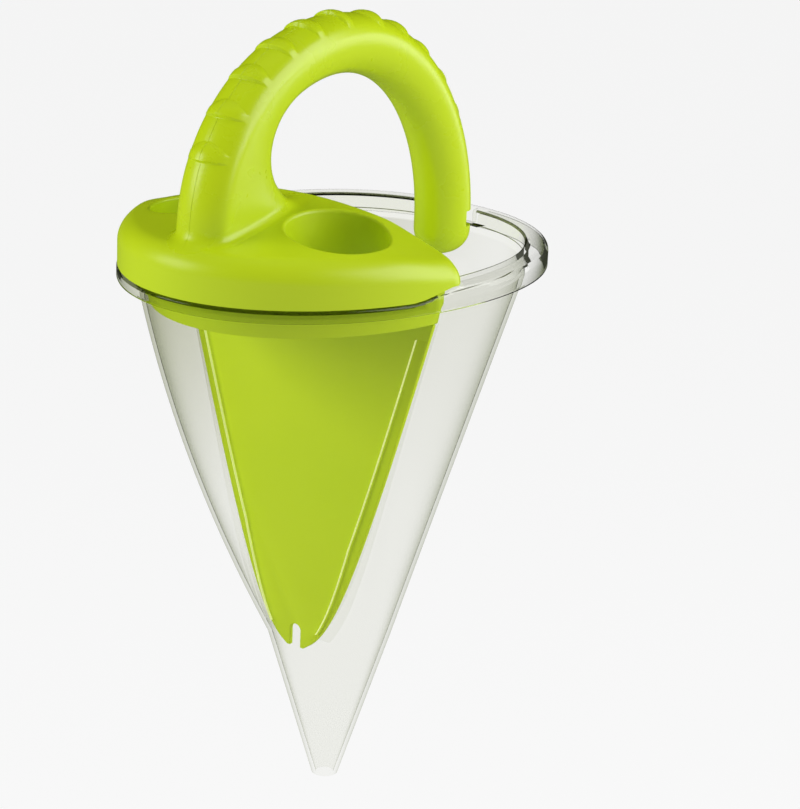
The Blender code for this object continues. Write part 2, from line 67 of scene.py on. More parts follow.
# %% [markdown]
# ## Skins from rings
# Each piece is a skin over a stack of closed rings, like the hoops of a barrel. It could be modelled by
# hand from a cylinder, but rings from formulas keep every wall an even thickness. A tube joins its last
# ring back to its first, which suits a thin wall: up the outside, over the rim and down the inside.

# %% Ring and skin helpers
RIM = Vector((0.010, 0.0, -0.0892))


def fill_between(built, lower, upper):
    for index in range(len(lower)):
        after = (index + 1) % len(lower)
        built.faces.new((lower[index], lower[after], upper[after], upper[index]))


def skin_stack(rings, tube):
    """One closed skin over a stack of rings, turned so that its faces point out."""
    built = bmesh.new()
    loops = [[built.verts.new(Vector(point) + RIM) for point in ring] for ring in rings]
    for lower, upper in zip(loops, loops[1:]):
        fill_between(built, lower, upper)
    if tube:
        fill_between(built, loops[-1], loops[0])
    else:
        built.faces.new(reversed(loops[0]))
        built.faces.new(loops[-1])
    if built.calc_volume(signed=True) < 0.0:
        bmesh.ops.reverse_faces(built, faces=built.faces)
    return built


def add_piece(name, stacks):
    """A new object whose mesh holds one or more skins. Points are given from the rim's centre."""
    mesh = bpy.data.meshes.new(name)
    whole = bmesh.new()
    for rings, tube in stacks:
        built = skin_stack(rings, tube)
        built.to_mesh(mesh)
        whole.from_mesh(mesh)
        built.free()
    whole.to_mesh(mesh)
    whole.free()
    piece = bpy.data.objects.new(name, mesh)
    bpy.context.scene.collection.objects.link(piece)
    return piece


# %% [markdown]
# ## Cutting and joining
# Openings and seats are cut with solids that are not pieces themselves. Boolean modifiers would keep the
# cutters alive, so each piece takes on the result as its own mesh and the cutter goes away.

# %% Boolean helper


def take_on_modifiers(piece):
    """Makes what the modifiers show the piece's own mesh."""
    graph = bpy.context.evaluated_depsgraph_get()
    result = bpy.data.meshes.new_from_object(piece.evaluated_get(graph))
    piece.modifiers.clear()
    piece.data = result


def combine(piece, tool, operation):
    """Cuts a piece with a tool solid, or joins the tool to it, and removes the tool."""
    modifier = piece.modifiers.new(tool.name, "BOOLEAN")
    modifier.operation = operation
    modifier.solver = "EXACT"
    modifier.object = tool
    take_on_modifiers(piece)
    bpy.data.objects.remove(tool, do_unlink=True)


def finish_surface(piece, sharp_degrees=35.0):
    """Smooth shading that stops at real corners."""
    piece.data.shade_smooth()
    piece.data.set_sharp_from_angle(angle=radians(sharp_degrees))
    print(piece.name, len(piece.data.polygons), "faces")


# %% [markdown]
# ## The oval cone
# The mouth is an oval that is longer on the water side and fuller on the sand side. It narrows to a round
# spout, and the water side bulges a little on the way. It could be lofted between drawn curves, but here all
# of it is one radius for each angle and height, so the inside wall is the same formula less the wall's
# thickness.

# %% Oval, wall and belly
FLANGE_SAND = 0.0862
FLANGE_FULLNESS = 2.2
FLANGE_WATER = 0.1030
FLANGE_HALF_WIDTH = 0.0780
OVERHANG = 0.0080
WALL = 0.0018
SPOUT_DEPTH = 0.1600
SPOUT_RADIUS = 0.0262
OUTLET_DEPTH = 0.2270
OUTLET_RADIUS = 0.0055
BELLY = 0.0065
BELLY_START = 1.87
BELLY_TURN = 0.57


def smooth_step(value):
    """0 below 0, 1 above 1 and a soft curve between."""
    value = min(1.0, max(0.0, value))
    return value * value * (3.0 - 2.0 * value)


def flange_radius(angle):
    """Radius of the rim's outer edge: an ellipse on the water side and a fuller curve on the sand side."""
    across = abs(sin(angle)) / FLANGE_HALF_WIDTH
    if cos(angle) < 0.0:
        return 1.0 / hypot(cos(angle) / FLANGE_WATER, across)
    power = FLANGE_FULLNESS
    return ((cos(angle) / FLANGE_SAND) ** power + across ** power) ** (-1.0 / power)


def wall_radius(angle, z, inset=0.0, belly=BELLY):
    """Radius of the cone's outer wall, less an inset."""
    mouth = flange_radius(angle) - OVERHANG
    turned = abs(atan2(sin(angle), cos(angle)))
    if z >= 0.0:
        return mouth - inset
    if z <= -SPOUT_DEPTH:
        share = (-z - SPOUT_DEPTH) / (OUTLET_DEPTH - SPOUT_DEPTH)
        return SPOUT_RADIUS + (OUTLET_RADIUS - SPOUT_RADIUS) * share - inset
    share = -z / SPOUT_DEPTH
    bulge = belly * smooth_step((turned - BELLY_START) / BELLY_TURN) * 4.0 * share * (1.0 - share)
    return mouth + (SPOUT_RADIUS - mouth) * share + bulge - inset


print("mouth:", round((wall_radius(0.0, 0.0) + wall_radius(pi, 0.0)) * 1000, 1), "mm long")

# %% [markdown]
# ## The rim
# The rim is a channel that hangs over the cone's edge. Its top is low where the lid sits on it and steps up
# beside the lid. A pocket in its inner side takes the handle's free end. The outer edge is rolled over, which
# gives clear plastic its bright lines and some dark ones; its finish paints the rolled edge darker as painted
# dark refraction. A swept profile would keep one height all round, so each ring of the profile takes its
# height from the angle.

# %% Rim height
LID_SEAT = 0.0050
LIP_HEIGHT = 0.0097
LID_EDGE_X = -0.0189
LIP_STEP_START = LID_EDGE_X - 0.0286
LIP_STEP_RUN = 0.0260
SEAT_ROUND = 0.0013
LIP_ROUND = 0.0037


def lip_share(angle):
    """0 where the lid sits on the rim and 1 beside it, with a curved step at the lid's corner."""
    edge_x = flange_radius(angle) * cos(angle)
    return smooth_step((edge_x - LIP_STEP_START) / LIP_STEP_RUN)


def lip_top(angle):
    """Height of the rim's top round the oval."""
    return LID_SEAT + (LIP_HEIGHT - LID_SEAT) * lip_share(angle)


def lip_round(angle):
    """Radius of the rim's outer edge: crisp under the lid and rolled over beside it."""
    return SEAT_ROUND + (LIP_ROUND - SEAT_ROUND) * lip_share(angle)


print("rim top under the lid and beside it:", lip_top(pi), lip_top(0.0))

# %% Pocket for the handle's free end
POCKET_DEPTH = 0.0038
POCKET_HALF_WIDTH = 0.0098
POCKET_EDGE = 0.0010
POCKET_FLOOR = 0.0036


def inside_pocket(angle, wider=0.0):
    """1 inside the pocket and 0 outside it, with a soft edge."""
    if cos(angle) < 0.0:
        return 0.0
    across = abs(sin(angle)) * (FLANGE_SAND - OVERHANG - WALL)
    return smooth_step((POCKET_HALF_WIDTH + POCKET_EDGE + wider - across) / POCKET_EDGE)


def channel_top(angle):
    """Height of the channel's ceiling under the rim, lower round the pocket."""
    low = inside_pocket(angle, WALL)
    return lip_top(angle) + (POCKET_FLOOR - lip_top(angle)) * low - WALL


print("channel's ceiling at the pocket and opposite it:", channel_top(0.0), channel_top(pi))

# %% Angles round the rim
STEP_PARTS = 8
LEAST_TURN = 0.0004


def rim_angles(count=240):
    """Even steps round the rim, with extra ones where its top steps up or down."""
    angles = [2 * pi * step / count for step in range(count)]
    extra = []
    for part in range(STEP_PARTS + 1):
        for start in (POCKET_HALF_WIDTH, POCKET_HALF_WIDTH + WALL):
            extra.append(asin((start + POCKET_EDGE * part / STEP_PARTS) / (FLANGE_SAND - OVERHANG - WALL)))
        x = LIP_STEP_START + LIP_STEP_RUN * part / STEP_PARTS
        extra.append(atan2(FLANGE_HALF_WIDTH * sqrt(1.0 - (x / FLANGE_WATER) ** 2), x))
    kept = []
    for angle in sorted(angles + extra + [2 * pi - a for a in extra]):
        if not kept or angle - kept[-1] > LEAST_TURN:
            kept.append(angle)
    return kept


ANGLES = rim_angles()
print("rim angles:", len(ANGLES))

# %% Rim profile


def quarter_turns(steps):
    """Even turns from 0 to a right angle, both ends included."""
    return [pi / 2 * step / steps for step in range(steps + 1)]


def ring_at(radius, height):
    """One ring round the rim: radius and height are functions of the angle."""
    return [(radius(a) * cos(a), radius(a) * sin(a), height(a)) for a in ANGLES]


def outer_ring(turn):
    """One ring of the rim's rolled outer edge, which turns from upright to flat."""
    return ring_at(lambda a: flange_radius(a) - lip_round(a) * (1.0 - cos(turn)),
                   lambda a: lip_top(a) - lip_round(a) * (1.0 - sin(turn)))


def rim_ring(inset, height, pocket=0.0):
    """One ring of the rim: an inset from its edge, less if it runs back into the pocket."""
    return ring_at(lambda a: flange_radius(a) - inset + pocket * inside_pocket(a), height)


# %% Rim rings
INNER_ROUND = 0.0009
CHANNEL_BEVEL = 0.0006
SKIRT_BEVEL = 0.0004
SKIRT_ROUND = 0.0005
POCKET_BEVEL = 0.0003


def channel_rings():
    """The channel under the rim, from the cone's wall over its ceiling to the outer skirt."""
    places = ((OVERHANG, CHANNEL_BEVEL), (OVERHANG - CHANNEL_BEVEL, 0.0),
              (WALL + CHANNEL_BEVEL, 0.0), (WALL, CHANNEL_BEVEL))
    return [rim_ring(inset, lambda a: channel_top(a) - drop) for inset, drop in places]


def skirt_edge_rings():
    """The lower edge of the outer skirt, bevelled inside and rounded outside."""
    places = ((WALL, SKIRT_BEVEL), (WALL - SKIRT_BEVEL, 0.0), (SKIRT_ROUND, 0.0),
              (SKIRT_ROUND * 0.3, SKIRT_ROUND * 0.3), (0.0, SKIRT_ROUND))
    return [rim_ring(inset, lambda a: z) for inset, z in places]


def lip_rings():
    """The rolled outer edge, the flat top and the rounded inner edge, which runs back into the pocket."""
    rings = [outer_ring(turn) for turn in quarter_turns(8)]
    for turn in quarter_turns(5):
        inset = OVERHANG + WALL - INNER_ROUND * (1.0 - sin(turn))
        drop = INNER_ROUND * (1.0 - cos(turn))
        rings.append(rim_ring(inset, lambda a: lip_top(a) - drop, POCKET_DEPTH))
    return rings


def pocket_rings():
    """The pocket's wall and floor, out to the cone's inside."""
    places = ((POCKET_DEPTH, -POCKET_BEVEL), (POCKET_DEPTH - POCKET_BEVEL, 0.0),
              (POCKET_BEVEL, POCKET_BEVEL / 3), (0.0, SKIRT_BEVEL))
    return [rim_ring(OVERHANG + WALL, lambda a: POCKET_FLOOR - drop, back) for back, drop in places]


def rim_rings():
    return channel_rings() + skirt_edge_rings() + lip_rings() + pocket_rings()


print("rim rings:", len(rim_rings()))

# %% Cone skin


def wall_heights(spout_steps=8, cone_steps=30):
    """Heights of the wall's rings from the outlet up to just under the rim."""
    spout = [-OUTLET_DEPTH + (OUTLET_DEPTH - SPOUT_DEPTH) * step / spout_steps for step in range(spout_steps)]
    cone = [-SPOUT_DEPTH * (1.0 - step / cone_steps) for step in range(cone_steps)]
    return spout + cone + [-SKIRT_BEVEL]


def wall_ring(z, inset=0.0):
    """One ring of the cone's wall at a height."""
    return ring_at(lambda a: wall_radius(a, z, inset), lambda a: z)


def cone_rings():
    """Up the outside of the wall, over the rim and down the inside."""
    outside = [wall_ring(z) for z in wall_heights()]
    inside = [wall_ring(z, WALL) for z in reversed(wall_heights())]
    return outside + rim_rings() + inside


clear_cone = add_piece("clear_cone", [(cone_rings(), True)])
print("cone skin:", len(clear_cone.data.polygons))

# %% [markdown]
# ## Guide ribs for the plate
# Four thin ribs inside the cone hold the edges of the dividing plate, two on each side of it. They could be
# loose strips, but the real ones are moulded with the cone, so they are joined to it. Their bright edges are
# the long lines beside the plate.

# %% Widths at the plate
LID_WALL = 0.0020
PLATE_THICKNESS = 0.0020
PLATE_GAP = 0.0004
PLATE_PLAY = 0.0003
PLATE_X = LID_EDGE_X - LID_WALL - PLATE_PLAY - PLATE_THICKNESS / 2


def halve(test, low, high):
    """The last place where a test is false and the first where it is true, found by halving."""
    for _ in range(40):
        middle = (low + high) / 2
        if test(middle):
            high = middle
        else:
            low = middle
    return low, high


def wall_half_width(x, z, inset, belly=BELLY):
    """Half width of the cone in a plane of constant x."""
    if wall_radius(pi, z, inset, belly) <= -x:
        return 0.0
    angle, _ = halve(lambda a: wall_radius(a, z, inset, belly) * cos(a) <= x, pi / 2, pi)
    return wall_radius(angle, z, inset, belly) * sin(angle)


def plate_half_width(z):
    """Half width of the plate, which follows a cone with no belly."""
    return wall_half_width(PLATE_X - PLATE_THICKNESS / 2, z, WALL + PLATE_GAP, 0.0)


print("plate's width at the mouth:", round(plate_half_width(0.0) * 2000, 1), "mm")

# %% Join the ribs to the cone
RIB_THICKNESS = 0.0014
RIB_DEPTH = 0.0050
RIB_FOOT = -(SPOUT_DEPTH - 0.0040)
RIB_RUN_OUT = 0.0450
RIB_LEAST_SHARE = 0.3
WATER_RIB_TOP = -0.0164
SAND_RIB_TOP = -0.0094


def rib_rings(x_low, x_high, top, side, steps=40):
    """One rib from its top to its foot, shallower towards the foot."""
    rings = []
    for step in range(steps + 1):
        z = top + (RIB_FOOT - top) * step / steps
        low = wall_half_width(x_low, z, WALL / 2)
        high = wall_half_width(x_high, z, WALL / 2)
        rise = RIB_LEAST_SHARE + (1.0 - RIB_LEAST_SHARE) * (z - RIB_FOOT) / RIB_RUN_OUT
        tip = plate_half_width(z) - RIB_DEPTH * min(1.0, rise)
        corners = ((x_low, low), (x_high, high), (x_high, tip), (x_low, tip))
        rings.append([(x, side * y, z) for x, y in corners])
    return rings


rib_near = PLATE_THICKNESS / 2 + PLATE_GAP
rib_far = rib_near + RIB_THICKNESS
ribs = []
for side in (-1, 1):
    ribs.append((rib_rings(PLATE_X - rib_far, PLATE_X - rib_near, WATER_RIB_TOP, side), False))
    ribs.append((rib_rings(PLATE_X + rib_near, PLATE_X + rib_far, SAND_RIB_TOP, side), False))
combine(clear_cone, add_piece("guide_ribs", ribs), "UNION")
finish_surface(clear_cone)

# %% [markdown]
# ## The domed half lid
# The lid covers the water side. Its outline is the rim's oval cut off by a straight edge with soft
# corners, and its top is a low dome that rounds over at the outline. A distance from the outline gives the
# rounding, which is simpler than a bevel and never folds at the corners.

# %% Lid outline
LID_CENTRE_X = -0.0520
FIT = 0.0003
LID_CORNER = 0.0200


def lid_reach(angle, length, half_width, edge_x, corner=LID_CORNER):
    """Distance from the lid's centre to its outline."""
    c, s = cos(angle), sin(angle)
    square = (c / length) ** 2 + (s / half_width) ** 2
    cross = LID_CENTRE_X * c / length ** 2
    rest = (LID_CENTRE_X / length) ** 2 - 1.0
    oval = (-cross + sqrt(cross * cross - square * rest)) / square
    if c <= 1e-6:
        return oval
    straight = (edge_x - LID_CENTRE_X) / c
    mix = min(1.0, max(0.0, 0.5 + 0.5 * (oval - straight) / corner))
    return oval + (straight - oval) * mix - corner * mix * (1.0 - mix)


# %% Lid height
EDGE_ROUND = 0.0075
LID_SIDE = 0.0140
DOME_RISE = 0.0140
DOME_CURVE = 1.6
WATER_END_RISE = 0.0034
CORNER_DROOP = 0.0025
DROOP_Y = 0.0360
DROOP_Y_RUN = 0.0260
DROOP_X = LID_EDGE_X - 0.0340
DROOP_X_RUN = 0.0300


def dome_height(x, y):
    """Height of the dome, a little higher at the water end and drawn down at the two corners."""
    share = min(1.0, hypot(x / FLANGE_WATER, y / FLANGE_HALF_WIDTH))
    dome = LID_SEAT + FIT + LID_SIDE + DOME_RISE * (1.0 - share ** DOME_CURVE)
    dome += WATER_END_RISE * max(0.0, (LID_EDGE_X - x) / (LID_EDGE_X + FLANGE_WATER))
    corner = smooth_step((abs(y) - DROOP_Y) / DROOP_Y_RUN) * smooth_step((x - DROOP_X) / DROOP_X_RUN)
    return dome - CORNER_DROOP * corner


def rounded_height(x, y, from_edge, edge_round):
    """The dome's height, rounded over where it nears the outline."""
    if from_edge >= edge_round:
        return dome_height(x, y)
    from_edge = max(0.0, from_edge)
    return dome_height(x, y) - edge_round + sqrt(edge_round ** 2 - (edge_round - from_edge) ** 2)


def lid_top(x, y):
    """Height of the lid's outer face above any place inside its outline."""
    angle = atan2(y, x - LID_CENTRE_X)
    reach = lid_reach(angle, FLANGE_WATER - FIT, FLANGE_HALF_WIDTH - FIT, LID_EDGE_X)
    return rounded_height(x, y, reach - hypot(x - LID_CENTRE_X, y), EDGE_ROUND)


print("lid height at its centre:", round(lid_top(LID_CENTRE_X, 0.0) * 1000, 1), "mm")

# %% Lid rings
LID_STEPS = 200
DOME_STEPS = 18
DOME_MIDDLE = 0.03


def lid_ring(size, inset, height):
    """A ring inside an outline. The size gives its half length, half width, straight edge and corner."""
    ring = []
    for step in range(LID_STEPS):
        angle = 2 * pi * step / LID_STEPS
        reach = lid_reach(angle, *size) - inset
        x = LID_CENTRE_X + reach * cos(angle)
        y = reach * sin(angle)
        ring.append((x, y, height(x, y)))
    return ring


def dome_rings(size, lower_by, edge_round, steps=12):
    """Rings over the rounded edge and then over the dome to near its centre."""
    rings = []
    for turn in quarter_turns(steps):
        depth = edge_round * (1.0 - cos(turn))
        rings.append(lid_ring(size, depth, lambda x, y: rounded_height(x, y, depth, edge_round) - lower_by))
    outline = rings[-1]
    for share in [1.0 - part / DOME_STEPS for part in range(1, DOME_STEPS)] + [DOME_MIDDLE]:
        ring = []
        for x, y, _ in outline:
            x = LID_CENTRE_X + (x - LID_CENTRE_X) * share
            ring.append((x, y * share, dome_height(x, y * share) - lower_by))
        rings.append(ring)
    return rings


# %% Lid solid and the hollow in it
SKIRT_DEPTH = 0.0090
SKIRT_GAP = 0.0006
SKIRT_CORNER = 0.0060
LEAST_LID_SIDE = 0.0003


def skirt_size(z, inset, edge_x):
    """Outline of the plug skirt inside the cone at a height."""
    return wall_radius(pi, z, WALL + inset), wall_radius(pi / 2, z, WALL + inset), edge_x, SKIRT_CORNER


def stepped_rings(inset, edge_x, bottom, above, brim):
    """The skirt from its foot up, then out to the brim, which lies on the rim and follows its step."""
    def seat(x, y):
        return min(lip_top(atan2(y, x)) + above, dome_height(x, y) - EDGE_ROUND - LEAST_LID_SIDE)

    rings = [lid_ring(skirt_size(z, inset, edge_x), 0.0, lambda x, y: z) for z in (bottom, 0.0)]
    rings.append(lid_ring(skirt_size(0.0, inset, edge_x), 0.0, seat))
    rings.append(lid_ring(brim, 0.0, seat))
    return rings


brim = (FLANGE_WATER - FIT, FLANGE_HALF_WIDTH - FIT, LID_EDGE_X, LID_CORNER)
solid = stepped_rings(SKIRT_GAP, LID_EDGE_X, -SKIRT_DEPTH, FIT, brim)
lid_shell = add_piece("lid_shell", [(solid + dome_rings(brim, 0.0, EDGE_ROUND), False)])
inner = (brim[0] - LID_WALL, brim[1] - LID_WALL, LID_EDGE_X - LID_WALL, LID_CORNER)
hollow = stepped_rings(SKIRT_GAP + LID_WALL, inner[2], -SKIRT_DEPTH - LID_WALL, FIT + LID_WALL, inner)
hollow += dome_rings(inner, LID_WALL, EDGE_ROUND - LID_WALL)
lid_hollow = add_piece("lid_hollow", [(hollow, False)])
print("lid rings:", len(solid), "to the brim and", len(hollow), "in the hollow")

# %% [markdown]
# ## Fill openings with a soft edge
# Two round openings take the water. On the real lid their edge rolls over softly into a short collar. A
# bevel along a cut edge often tears on a dome, so the cutter itself is a trumpet: its side curves out until
# it runs along the dome, and the cut leaves the rounded edge behind.

# %% Collars and trumpet cutters
FILL_X = -0.0475
FILL_Y = 0.0340
FILL_RADIUS = 0.0200
FILL_ROUND = 0.0014
COLLAR_WALL = 0.0018
COLLAR_FOOT = 0.0060
TRUMPET_FOOT = 0.0040
TRUMPET_TURN = 72.0
TRUMPET_BRIM = 0.0030
TRUMPET_LIFT = 0.0009
INSIDE_LID = 0.0400
ABOVE_LID = 0.0600


def fill_ring(side, radius, height, steps=96):
    """A ring round one fill opening. Its height may follow the dome."""
    ring = []
    for step in range(steps):
        turn = 2 * pi * step / steps
        x = FILL_X + radius * cos(turn)
        y = side * FILL_Y + radius * sin(turn)
        ring.append((x, y, height(x, y)))
    return ring


def trumpet_rings(side, steps=8):
    """A cutter for one opening: straight, then curving out over the dome, then straight up."""
    rings = [fill_ring(side, FILL_RADIUS, lambda x, y: TRUMPET_FOOT)]
    for step in range(steps + 1):
        turn = radians(TRUMPET_TURN * step / steps)
        drop = FILL_ROUND * (1.0 - sin(turn))
        radius = FILL_RADIUS + FILL_ROUND * (1.0 - cos(turn))
        rings.append(fill_ring(side, radius, lambda x, y: dome_height(x, y) - drop))
    rings.append(fill_ring(side, radius + TRUMPET_BRIM, lambda x, y: dome_height(x, y) + TRUMPET_LIFT))
    rings.append(fill_ring(side, radius + TRUMPET_BRIM, lambda x, y: ABOVE_LID))
    return rings


collars = []
for side in (-1, 1):
    outside = FILL_RADIUS + COLLAR_WALL
    collar = [fill_ring(side, outside, lambda x, y: z) for z in (COLLAR_FOOT, INSIDE_LID)]
    collars.append((collar, False))
combine(lid_hollow, add_piece("fill_collars", collars), "DIFFERENCE")
combine(lid_shell, lid_hollow, "DIFFERENCE")
trumpets = [(trumpet_rings(side), False) for side in (-1, 1)]
combine(lid_shell, add_piece("fill_trumpets", trumpets), "DIFFERENCE")
finish_surface(lid_shell)

# %% [markdown]
# ## The arched handle
# The handle follows a spine of two quarter ellipses from the lid over the crown to a free end that tucks
# into the rim. Its section is an egg, two half ellipses with the blunt end out, and it grows into a long
# web towards the lid. It is moulded as two half shells, so each is lofted alone and the seam is real.

# %% Spine
CROWN_X = -0.0100
CROWN_Z = 0.1010
COLUMN_X = -0.0938
COLUMN_SPRING = 0.0270
COLUMN_FOOT = 0.0080
FREE_LEG_X = 0.0796
FREE_LEG_SPRING = 0.0060
FREE_LEG_END = -0.0095


def spine_points(steps=400):
    """Fine points along the spine, from the foot on the lid to the free end."""
    points = []
    for step in range(steps):
        points.append((COLUMN_X, COLUMN_FOOT + (COLUMN_SPRING - COLUMN_FOOT) * step / steps))
    for turn in quarter_turns(steps)[:-1]:
        points.append((CROWN_X + (COLUMN_X - CROWN_X) * cos(turn),
                       COLUMN_SPRING + (CROWN_Z - COLUMN_SPRING) * sin(turn)))
    for turn in quarter_turns(steps)[:-1]:
        points.append((CROWN_X + (FREE_LEG_X - CROWN_X) * sin(turn),
                       FREE_LEG_SPRING + (CROWN_Z - FREE_LEG_SPRING) * cos(turn)))
    for step in range(steps + 1):
        points.append((FREE_LEG_X, FREE_LEG_SPRING + (FREE_LEG_END - FREE_LEG_SPRING) * step / steps))
    return points


SPINE = spine_points()
TRAVELLED = [0.0]
for before, after in zip(SPINE, SPINE[1:]):
    TRAVELLED.append(TRAVELLED[-1] + hypot(after[0] - before[0], after[1] - before[1]))
SPINE_LENGTH = TRAVELLED[-1]
print("spine length:", round(SPINE_LENGTH * 1000, 1), "mm")

# %% Place along the spine
FOOT_LEAN = 0.53
LEAN_RUN = 0.0880


def spine_at(distance):
    """Point on the spine, and the direction across the handle towards the inside of the arch."""
    low, high = 0, len(TRAVELLED) - 1
    while high - low > 1:
        middle = (low + high) // 2
        if TRAVELLED[middle] < distance:
            low = middle
        else:
            high = middle
    before, after = Vector(SPINE[low]), Vector(SPINE[high])
    share = (distance - TRAVELLED[low]) / (TRAVELLED[high] - TRAVELLED[low])
    along = (after - before).normalized()
    lean = atan2(-along.x, along.y) * (FOOT_LEAN + (1.0 - FOOT_LEAN) * min(1.0, distance / LEAN_RUN))
    return before.lerp(after, share), Vector((cos(lean), sin(lean)))


# %% Half section
HANDLE_HALF_WIDTH = 0.0118
HANDLE_DEPTH = 0.0236
ROOF_DEPTH = 0.0090
SEAM = 0.00015


def half_section(depth):
    """From the spine to the inner edge, as (distance in, half width) pairs: two half ellipses."""
    points = [(SEAM, 0.0), (SEAM * 0.3, SEAM * 0.6)]
    for turn in quarter_turns(16)[1:]:
        points.append((ROOF_DEPTH * (1.0 - cos(turn)), HANDLE_HALF_WIDTH * sin(turn)))
    for turn in quarter_turns(32)[1:]:
        points.append((ROOF_DEPTH + (depth - ROOF_DEPTH) * sin(turn), HANDLE_HALF_WIDTH * cos(turn)))
    return points


print("points in a half section:", len(half_section(HANDLE_DEPTH)))

# %% [markdown]
# ## Grip pads
# Eleven pads cross the handle's back like scales: each swells gently and ends in a step on its lower side.
# A bump map would blur that step, so the mesh itself follows it: rings that belong to a pad are bent to the
# pad's outline, straight below and arched above, and the roof rises inside them.

# %% Pads
PAD_HEIGHT = 0.0017
PAD_HALF_LENGTH = 0.0042
PAD_HALF_WIDTH = 0.0092
FIRST_PAD = 0.0515
PAD_PITCH = 0.0184
PADS = [FIRST_PAD + PAD_PITCH * number for number in range(11)]
CROWN_PAD = PADS[5]
PAD_STEP_START = -1.05
PAD_STEP_RUN = 0.19
PAD_CREST = -0.45
FAINT_END_BEND = 0.10
STEP_BEND = 0.75
STEP_RINGS = (-1.10, -1.05, -1.02, -0.98, -0.93, -0.86, -0.75, -0.55)
PAD_RINGS = STEP_RINGS + (-0.3, 0.0, 0.3, 0.6, 0.8, 0.92, 1.0, 1.05)


def uphill(pad):
    """1 on the way up to the crown and -1 on the way down from it."""
    return -1.0 if pad > CROWN_PAD else 1.0


def pad_bend(share, into, across):
    """How far along the pad a ring lies at a place across the roof. It straightens along the side."""
    if into >= ROOF_DEPTH:
        return share
    inside = max(0.0, 1.0 - (across / PAD_HALF_WIDTH) ** 2)
    least = FAINT_END_BEND if share > 0.0 else STEP_BEND
    bent = share * (least + (1.0 - least) * inside)
    out = max(0.0, (across - PAD_HALF_WIDTH) / (HANDLE_HALF_WIDTH - PAD_HALF_WIDTH))
    return bent + (share - bent) * out


def pad_rise(share, across):
    """How far a pad lifts the roof. The share runs from -1 at its step to 1 at its faint end."""
    inside = max(0.0, 1.0 - (across / PAD_HALF_WIDTH) ** 2)
    swell = max(0.0, 1.0 - ((share - PAD_CREST) / (1.0 - PAD_CREST)) ** 2)
    step = smooth_step((share - PAD_STEP_START) / PAD_STEP_RUN)
    return PAD_HEIGHT * sqrt(inside) * swell * step


print("grip pads:", len(PADS), "with", len(PAD_RINGS), "rings each")

# %% [markdown]
# ## The handle's foot
# Where the handle meets the lid, its sides sweep out until they run along the dome, widely at the column's
# back and narrowly along the web. A fillet between two skins could be a blend mesh. Here each point of a
# section that comes near the dome slides down a curve that starts along the handle's side and ends along the
# dome, which keeps the shell one skin and hides the joint as moulding does.

# %% Sweep of the foot
SWEEP_SPINE = 0.0065
SWEEP_SIDE = 0.0036
SWEEP_WEB = 0.0034


def sweep_curve(above, size):
    """Where a point this far above the dome goes: how far out, and how far above the dome."""
    along = min(1.0, max(-1.0, (above + size) / size - 1.0))
    far = size * (1.0 - abs(along)) ** 2 / 4
    near = size * abs(along) + far
    if along >= 0.0:
        return far, near
    return near, far


def sweep_foot(place, outward, size):
    """Slides a point of the section along the curve, if it is near the dome."""
    x, y, z = place
    above = z - lid_top(x, y)
    flat = hypot(*outward)
    if x > LID_EDGE_X or above >= size or flat < 1e-6:
        return place
    out, height = sweep_curve(above, size)
    x += outward[0] / flat * out
    y += outward[1] / flat * out
    below = min(0.0, above + size)
    return x, y, lid_top(x, y) + height + below


def sweep_size(into, across):
    """Size of the sweep at a place on the section."""
    side = smooth_step(across / HANDLE_HALF_WIDTH)
    web = smooth_step((into - ROOF_DEPTH) / ROOF_DEPTH)
    round_column = SWEEP_SPINE + (SWEEP_SIDE - SWEEP_SPINE) * side
    return round_column + (SWEEP_WEB - round_column) * web


print("sweep at the column's back:", sweep_size(0.0, 0.0), "and on the web:", sweep_size(HANDLE_DEPTH, 0.0))

# %% One ring of a half shell
END_ROUND = 0.0110
FLARE_DEPTH = 0.0477
FLARE_FULL = 0.0167
FLARE_END = 0.1085
FLARE_CURVE = 2.18
LEAST_END = 0.02


def section_normal(section, index):
    """Direction out of the section at one of its points, as (along the depth, across)."""
    if index < 2:
        return -1.0, 0.0
    before = section[index - 1]
    after = section[min(len(section) - 1, index + 1)]
    return before[1] - after[1], after[0] - before[0]


def section_at(distance):
    """The half section at a distance along the spine, and how much the rounded end shrinks it."""
    flare = min(1.0, max(0.0, (FLARE_END - distance) / (FLARE_END - FLARE_FULL)))
    left = SPINE_LENGTH - distance
    shrink = 1.0
    if left < END_ROUND:
        shrink = sqrt(max(LEAST_END, 1.0 - (1.0 - left / END_ROUND) ** 2))
    return half_section(HANDLE_DEPTH + FLARE_DEPTH * flare ** FLARE_CURVE), shrink


def shell_point(distance, index, side, lift):
    """One point of a half shell, lifted off the roof by a pad or swept out at the foot."""
    section, shrink = section_at(distance)
    into, across = section[index]
    middle = section[-1][0] / 2
    point, inward = spine_at(distance)
    x, z = point + inward * (middle + (into - middle) * shrink - lift)
    place = (x, side * across * shrink, z)
    if distance > FLARE_END:
        return place
    normal = section_normal(section, index)
    return sweep_foot(place, (normal[0] * inward.x, side * normal[1]), sweep_size(into, across))


def shell_ring(distance, pad, side):
    """One ring of a half shell. A ring that belongs to a pad is bent to the pad's outline."""
    ring = []
    for index, (into, across) in enumerate(section_at(distance)[0]):
        if pad is None:
            ring.append(shell_point(distance, index, side, 0.0))
            continue
        share = uphill(pad) * (distance - pad) / PAD_HALF_LENGTH
        lift = pad_rise(share, across) if into < ROOF_DEPTH else 0.0
        bent = pad + uphill(pad) * PAD_HALF_LENGTH * pad_bend(share, into, across)
        ring.append(shell_point(bent, index, side, lift))
    return ring


# %% Stations along the handle
EVEN_STEPS = 150
END_STEPS = 14
FOOT_STEPS = 75
FOOT_STEP = 0.0006
PAD_ROOM = PAD_HALF_LENGTH * 1.25


